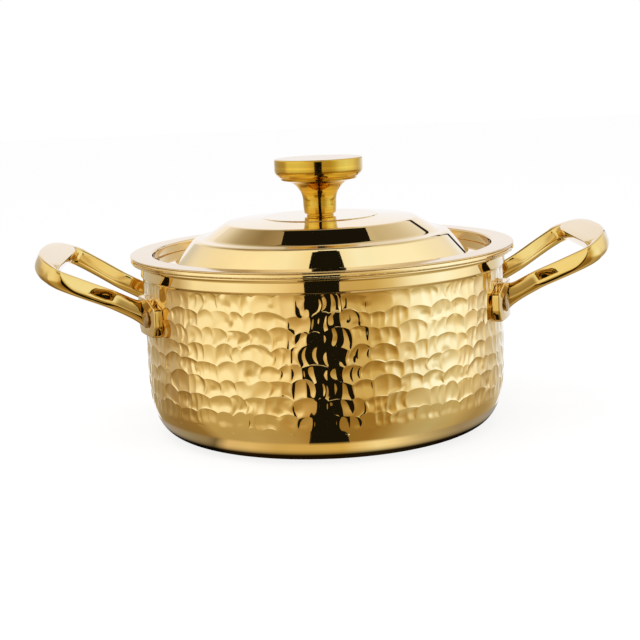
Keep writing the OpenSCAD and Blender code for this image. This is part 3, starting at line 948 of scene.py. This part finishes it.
class KETTLE_OT_knob(bpy.types.Operator):
    """Make the turned knob"""
    bl_idname = "kettle.knob"
    bl_label = "Knob"

    def execute(self, context):
        stem = np.array([(8.6, 1.7), (9.0, 4.9), (9.2, 9.3), (10.1, 12.6), (12.4, 16), (14.9, 17.9),
                         (17.5, 18.9), (19.6, 19.4)])
        outline = [(SCREW_BORE_R, DISC_Z), (7.2, DISC_Z), (7.3, DISC_Z + 0.1), (7.3, DISC_Z + 0.9),
                   (7.4, DISC_Z + 1.0), (8.3, DISC_Z + 1.15), (8.5, DISC_Z + 1.35)]
        outline += [on_curve(stem, i, k / STEM_STEPS) + (0, DISC_Z)
                    for i in range(len(stem) - 1) for k in range(STEM_STEPS)]
        outline += [stem[-1] + (0, DISC_Z)]
        outline += rounded([
            (19.6, DISC_Z + 19.4, 0), (20.6, DISC_Z + 19.6, 0.25), (20.8, DISC_Z + 20.8, 0.3),
            (21.9, DISC_Z + 21.3, 0.3), (KNOB_R, DISC_Z + 23.6, 1.5), (KNOB_R, KNOB_TOP, 0.9),
            (22, KNOB_TOP, 0),
        ])[1:]
        outline += [(12, KNOB_TOP), (0, KNOB_TOP), (0, DISC_Z + SCREW_GRIP + 1),
                    (SCREW_BORE_R, DISC_Z + SCREW_GRIP + 1)]
        gold = polished_metal("knob_gold", context.scene.kettle.finish.knob_gold, roughness=0.07,
                              coat=0.35, haze=0.06, streaks=0.36, turned=True)
        piece_from("turned_knob", turned_piece(outline, KNOB_COLUMNS, closed=True), "lid",
                   ["lid_knob"], gold)
        return {"FINISHED"}


class KETTLE_OT_fasteners(bpy.types.Operator):
    """Finish the knob's screw and the washers in bare steel"""
    bl_idname = "kettle.fasteners"
    bl_label = "Screw and Washers"

    def execute(self, context):
        steel = polished_metal("bare_steel", context.scene.kettle.finish.steel, roughness=0.28,
                               haze=0.12)
        for name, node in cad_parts.items():
            if "washer" in name or "screw" in name:
                node.data.materials.clear()
                node.data.materials.append(steel)
        return {"FINISHED"}


# ---- the room that the metal reflects ----
# TOWARD points level from the kettle to the camera, and RIGHT to the camera's right.

TOWARD = Vector((-0.037776, -0.999286, 0))
RIGHT = Vector((0.999286, -0.037776, 0))
UP = Vector((0, 0, 1))

# Colours by degrees: of the panels from the camera round to the right, of the table up from level,
# and of the ceiling up from the camera's side and over the top
LOW_PANELS = [
    (-180, 1, 1.02, 1.1), (-165, 0.85, 0.84, 0.82), (-150, 0.6, 0.58, 0.5),
    (-120, 0.58, 0.52, 0.44), (-100, 0.64, 0.55, 0.41), (-86, 1.1, 1.14, 1.18),
    (-55, 1.12, 1.2, 1.32), (-28, 1.04, 1.01, 0.9), (-12, 0.85, 0.72, 0.5), (0, 0.7, 0.6, 0.42),
    (14, 0.66, 0.55, 0.32), (30, 0.68, 0.56, 0.3), (42, 0.82, 0.77, 0.6), (56, 1.08, 1.22, 1.55),
    (76, 1.15, 1.42, 2.1), (98, 1.14, 1.25, 1.5), (120, 0.8, 0.8, 0.82), (135, 0.82, 0.84, 0.88),
    (150, 0.95, 1.05, 1.25), (180, 1, 1.02, 1.1),
]
HIGH_PANELS = [
    (-180, 0.95, 0.93, 0.92), (-140, 0.92, 0.9, 0.88), (-100, 1.08, 1.1, 1.12),
    (-60, 1.12, 1.2, 1.3), (-20, 1.04, 1, 0.9), (0, 0.95, 0.9, 0.78), (20, 1.02, 1, 0.95),
    (60, 1.12, 1.28, 1.6), (110, 1.1, 1.2, 1.4), (145, 0.95, 0.95, 0.96), (180, 0.95, 0.93, 0.92),
]
TABLE = [
    (-90, 0.7, 0.6, 0.44), (-55, 0.47, 0.36, 0.2), (-35, 0.46, 0.355, 0.18), (-22, 0.5, 0.38, 0.19),
    (-14, 0.72, 0.61, 0.42), (-8, 0.97, 0.94, 0.88), (0, 1, 1, 1), (30, 1, 1, 1),
    (90, 0.95, 0.94, 0.92),
]
CEILING_AHEAD = [
    (-180, 1, 1, 1), (14, 1, 1, 1), (24, 0.56, 0.5, 0.42), (34, 0.36, 0.3, 0.22),
    (44, 0.5, 0.44, 0.34), (52, 0.98, 0.95, 0.9), (60, 0.72, 0.68, 0.62), (66, 1, 1, 1),
    (92, 1, 1, 1),
]
CEILING_LEFT = CEILING_AHEAD + [
    (104, 0.8, 0.76, 0.7), (114, 0.46, 0.38, 0.27), (123, 0.34, 0.27, 0.17), (136, 0.5, 0.45, 0.36),
    (150, 0.85, 0.84, 0.82), (163, 1, 1, 1), (180, 1, 1, 1),
]
CEILING_RIGHT = CEILING_AHEAD + [
    (106, 0.85, 0.82, 0.78), (121, 0.66, 0.62, 0.56), (132, 0.74, 0.71, 0.68),
    (146, 0.88, 0.87, 0.87), (160, 1, 1, 1), (180, 1, 1, 1),
]
BACKDROP_W = 0.385  # half width and height of the white backdrop, as shares of a direction
BACKDROP_H = 0.37
BACKDROP = (0.97, 0.96, 0.99, 1)
SEAM = (0.012, 0.010, 0.008, 1)


def reflected_room(world, level):
    """The room that the metal reflects: white panels at the sides, a ceiling with darker parts, a
    white backdrop with a dark seam and a pale table. Everything else sees plain white."""
    nodes = Nodes(world)
    nodes.tree.nodes.clear()
    step, product, without = nodes.step, nodes.product, nodes.without

    def along(axis):
        inputs = {0: direction, 1: axis}
        return nodes.add("VectorMath", inputs, "Value", operation="DOT_PRODUCT")

    def angle(kind, *values):
        """Angle as a share of a full turn, with 0.5 for none."""
        return nodes.math("ADD", nodes.math("DIVIDE", nodes.math(kind, *values), 2 * pi), 0.5)

    def colour_at(share, stops):
        return nodes.ramp(share, [((degrees + 180) / 360, *colour) for degrees, *colour in stops])

    # aside, ahead and height are the shares of a direction that point right, to the camera and up
    direction = nodes.add("TexCoord", output="Generated")
    aside, ahead, height = along(RIGHT), along(TOWARD), along(UP)
    distance = nodes.math("ABSOLUTE", aside)
    turn = angle("ARCTAN2", aside, ahead)
    pitch = angle("ARCTAN2", height, ahead)
    panels = nodes.blend(step(height, 0.12, 0.42), colour_at(turn, LOW_PANELS),
                         colour_at(turn, HIGH_PANELS))
    lit = nodes.blend(1.0, panels, colour_at(angle("ARCSINE", height), TABLE), "MULTIPLY")
    ceiling = nodes.blend(step(aside, -0.12, 0.12), colour_at(pitch, CEILING_LEFT),
                          colour_at(pitch, CEILING_RIGHT))
    near_middle = without(step(distance, 0.42, 0.62))
    lit = nodes.blend(near_middle, lit, nodes.blend(1.0, lit, ceiling, "MULTIPLY"))

    # The backdrop stands behind the kettle. Its seam is dark on the right, and above on the right.
    behind = without(step(ahead, -0.6, -0.5))
    reach = nodes.math("MAXIMUM", nodes.math("DIVIDE", distance, BACKDROP_W),
                       nodes.math("DIVIDE", height, BACKDROP_H))
    inside = product(behind, without(step(reach, 0.94, 0.98)))
    to_left = step(product(aside, -1.0), 0.20, 0.30)
    over_middle = product(step(height, 0.20, 0.28), without(step(aside, 0.20, 0.26)))
    seam = product(behind, step(reach, 0.94, 0.97), without(step(reach, 1.08, 1.13)),
                   without(to_left), step(height, -0.02, 0.02), without(over_middle))
    lit = nodes.blend(seam, nodes.blend(inside, lit, BACKDROP), SEAM)
    room = nodes.add("Background", {"Color": lit, "Strength": level})
    plain = nodes.add("Background", {"Color": WHITE, "Strength": 1.0})
    reflects = nodes.add("LightPath", output="Is Glossy Ray")
    nodes.show(nodes.either(reflects, plain, room), "World")


# ---- the stage's sheets ----

FLOOR_WHITE = (0.92, 0.92, 0.92, 1)
FLOOR_GLOW = 0.84  # share of the camera's view of the floor that is plain white
FLOOR_REACH = 4.0
FLOOR_GAP = 0.0002  # floor below the base's face, and the table's glow above it
# radius of the painted shadow on the glowing table
SHADOW_R = 0.080
GLOW_STEPS = 96
CARD_BLACK = (0.010, 0.009, 0.007, 1)
PASSED_ON = 1.5  # light with a glossy depth over this comes from one piece to another
CARD_STEP = 0.5
CARD_STRIPS = ((-80, 14), (66, 80), (100, 114))
# The echo's strips are a painted dark reflection, seen only in light passed from one piece to another
ECHO_STRIPS = ((14, 66), (80, 100), (114, 122))
# Pitch in degrees, with the card's reach to the left and to the right of its middle there
CARD_SIDES = (
    (-80, 0.12, 0.12), (-60, 0.11, 0.11), (-32, 0.11, 0.105), (-20, 0.115, 0.102), (-9, 0.122, 0.1),
    (14, 0.118, 0.104), (66, 0.095, 0.155), (69.6, 0.077, 0.137), (71, 0.045, 0.11),
    (73, 0.025, 0.09), (80, 0.02, 0.085), (98, 0.155, 0.19), (106, 0.17, 0.205),
    (118, 0.185, 0.215),
)
# Painted light and shade of the glowing table about the foot, outwards from its painted shadow under
# the base and from the left to the right
GLOW_SHADOW_OUTWARD = [
    (0, 0.008, 0.006, 0.004), (0.42, 0.02, 0.014, 0.008), (0.54, 0.72, 0.7, 0.62), (0.66, 1, 1, 1),
    (1, 1, 1, 1),
]
GLOW_SHOWN = [(0, 1, 1, 1), (0.86, 1, 1, 1), (1, 0, 0, 0)]
GLOW_LIGHT_SIDEWAYS = [
    (0, 0.38, 0.33, 0.3), (0.067, 0.32, 0.29, 0.24), (0.12, 0.3, 0.25, 0.19),
    (0.146, 0.18, 0.15, 0.1), (0.165, 0.5, 0.4, 0.27), (0.185, 0.8, 0.65, 0.45),
    (0.25, 0.8, 0.66, 0.42), (0.33, 0.7, 0.54, 0.26), (0.52, 0.72, 0.54, 0.22),
    (0.62, 0.98, 0.94, 0.78), (0.67, 0.92, 0.86, 0.7), (0.75, 0.6, 0.54, 0.42),
    (0.82, 0.43, 0.38, 0.28), (0.883, 0.35, 0.3, 0.25), (1, 0.36, 0.33, 0.31),
]


def stage_finish(name):
    """A material with an empty node tree, and its nodes."""
    material = bpy.data.materials.new(name)
    nodes = Nodes(material)
    nodes.tree.nodes.clear()
    return material, nodes


def floor_finish():
    """White floor that keeps the kettle's shadow."""
    material, nodes = stage_finish("floor_white")
    paint = nodes.add("BsdfDiffuse", {"Color": FLOOR_WHITE})
    glow = nodes.add("Emission", {"Strength": 1.0})
    share = nodes.product(nodes.add("LightPath", output="Is Camera Ray"), FLOOR_GLOW)
    nodes.show(nodes.either(share, paint, glow))
    return material


def glow_finish(outer):
    """Glowing table about the foot, seen only in reflections, with a painted shadow under the base.
    Its painted light changes from the left to the right, and it fades out at its edge."""
    material, nodes = stage_finish("table_glow")
    where = nodes.add("TexCoord", output="Object")
    length = nodes.add("VectorMath", {0: where}, "Value", operation="LENGTH")
    reach = nodes.spread(length, SHADOW_R, outer)
    aside = nodes.math("DIVIDE", nodes.add("SeparateXYZ", {0: where}, "X"), length)
    colour = nodes.blend(1.0, nodes.ramp(reach, GLOW_SHADOW_OUTWARD),
                         nodes.ramp(nodes.spread(aside, -1, 1), GLOW_LIGHT_SIDEWAYS), "MULTIPLY")
    nodes.show(nodes.either(nodes.ramp(reach, GLOW_SHOWN), nodes.add("BsdfTransparent"),
                            nodes.add("Emission", {"Color": colour})))
    return material


def card_finish(echo):
    """Black cloth of the dark card, a sheet seen only in reflections: a painted dark reflection. An
    echo shows only to light that one piece passes to another, as a painted dark reflection between
    the pieces.
    """
    material, nodes = stage_finish("card_echo" if echo else "card_black")
    cloth = nodes.add("Emission", {"Color": CARD_BLACK})
    if echo:
        depth = nodes.add("LightPath", output="Glossy Depth")
        passed_on = nodes.math("GREATER_THAN", depth, PASSED_ON)
        cloth = nodes.either(passed_on, nodes.add("BsdfTransparent"), cloth)
    nodes.show(cloth)
    return material


def dark_card(settings, strips):
    """Vertices and faces of some strips of the dark card. Together they are an arch that stands in
    front of the kettle and bends over it, between the white panels."""
    pitches, lefts, rights = zip(*CARD_SIDES)
    vertices, faces = [], []
    for start, end in strips:
        for pitch in np.linspace(start, end, 1 + round((end - start) / CARD_STEP)):
            a = radians(pitch)
            middle = (TOWARD * cos(a) + UP * sin(a)) * settings.card_r
            middle.z += settings.card_z
            vertices += [middle - RIGHT * np.interp(pitch, pitches, lefts),
                         middle + RIGHT * np.interp(pitch, pitches, rights)]
            if pitch > start:
                n = len(vertices)
                faces.append((n - 4, n - 3, n - 1, n - 2))
    return vertices, faces


def stage_sheet(name, vertices, faces, material):
    """A sheet of the stage."""
    sheet = new_object(name, vertices, faces)
    sheet.data.materials.append(material)
    sheet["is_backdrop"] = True
    return sheet


LAMP_POWER = 9.0
LAMP_SIZE = 0.9
LAMP_AT = (-0.25, -0.35, 1.3)
LAMP_TURN = (radians(-14), radians(-10), 0)
SENSOR_W = 36
VIEW_END = 20


class KETTLE_OT_stage(bpy.types.Operator):
    """Set the floor, the room's light and the camera"""
    bl_idname = "kettle.stage"
    bl_label = "Stage"

    def execute(self, context):
        settings = context.scene.kettle.stage
        far = FLOOR_REACH
        corners = [(-far, -far), (far, -far), (far, far), (-far, far)]
        floor = stage_sheet("floor", [(x, y, -FLOOR_GAP) for x, y in corners], [(0, 1, 2, 3)],
                            floor_finish())
        floor.visible_glossy = False
        r = settings.ring_r
        edge = [(r * cos(a), r * sin(a), FLOOR_GAP)
                for a in np.linspace(0, 2 * pi, GLOW_STEPS, endpoint=False)]
        glow = stage_sheet("table_glow", edge, [tuple(range(len(edge)))], glow_finish(r))
        card = stage_sheet("dark_card", *dark_card(settings, CARD_STRIPS), card_finish(False))
        echo = stage_sheet("dark_card_echo", *dark_card(settings, ECHO_STRIPS), card_finish(True))
        # The glow and the cards show only in reflections: painted reflections, and on the glow a
        # painted shadow and painted light
        for sheet in (glow, card, echo):
            for rays in ("camera", "diffuse", "shadow", "transmission"):
                setattr(sheet, "visible_" + rays, False)

        world = bpy.data.worlds.new("room")
        world.cycles.sampling_method = "NONE"
        context.scene.world = world
        reflected_room(world, settings.sky)

        lamp = bpy.data.lights.new("overhead_panel", "AREA")
        lamp.energy = LAMP_POWER
        lamp.size = LAMP_SIZE
        panel = bpy.data.objects.new("overhead_panel", lamp)
        panel.location = LAMP_AT
        panel.rotation_euler = LAMP_TURN
        panel.visible_glossy = False
        context.collection.objects.link(panel)

        camera = bpy.data.objects.new("camera", bpy.data.cameras.new("camera"))
        camera.data.lens = settings.lens
        camera.data.sensor_width = SENSOR_W
        camera.data.clip_end = VIEW_END
        camera.location = settings.camera_at
        camera.rotation_euler = settings.camera_turn
        context.collection.objects.link(camera)
        context.scene.camera = camera
        context.scene.view_settings.view_transform = "Standard"
        return {"FINISHED"}


class KETTLE_PT_panel(bpy.types.Panel):
    """Panel in the 3D view's sidebar"""
    bl_idname = "KETTLE_PT_panel"
    bl_label = "Soup Kettle"
    bl_space_type = "VIEW_3D"
    bl_region_type = "UI"
    bl_category = "Kettle"

    def draw(self, context):
        layout = self.layout
        settings = context.scene.kettle
        for part in (settings.hammer, settings.finish, settings.stage):
            box = layout.box()
            for name in part.__annotations__:
                box.prop(part, name)
        for operator in OPERATORS:
            layout.operator(operator.bl_idname)


OPERATORS = (
    KETTLE_OT_shell, KETTLE_OT_liner, KETTLE_OT_handles, KETTLE_OT_rivets, KETTLE_OT_lid,
    KETTLE_OT_knob, KETTLE_OT_fasteners, KETTLE_OT_stage,
)
CLASSES = (
    KETTLE_hammer_settings, KETTLE_finish_settings, KETTLE_stage_settings, KETTLE_settings,
    *OPERATORS, KETTLE_PT_panel,
)


def register():
    for item in CLASSES:
        bpy.utils.register_class(item)
    bpy.types.Scene.kettle = PointerProperty(type=KETTLE_settings)


def unregister():
    del bpy.types.Scene.kettle
    for item in reversed(CLASSES):
        bpy.utils.unregister_class(item)


def plain(box):
    """A box as plain lists of numbers."""
    return [[float(v) for v in corner] for corner in box]


def main():
    """Make the kettle and its stage."""
    register()
    bpy.ops.kettle.shell()
    bpy.ops.kettle.liner()
    bpy.ops.kettle.handles()
    bpy.ops.kettle.rivets()
    bpy.ops.kettle.lid()
    bpy.ops.kettle.knob()
    bpy.ops.kettle.fasteners()
    bpy.ops.kettle.stage()
    {"cad": plain(cad_box), "visual": plain(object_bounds())}


if __name__ == "__main__":
    main()
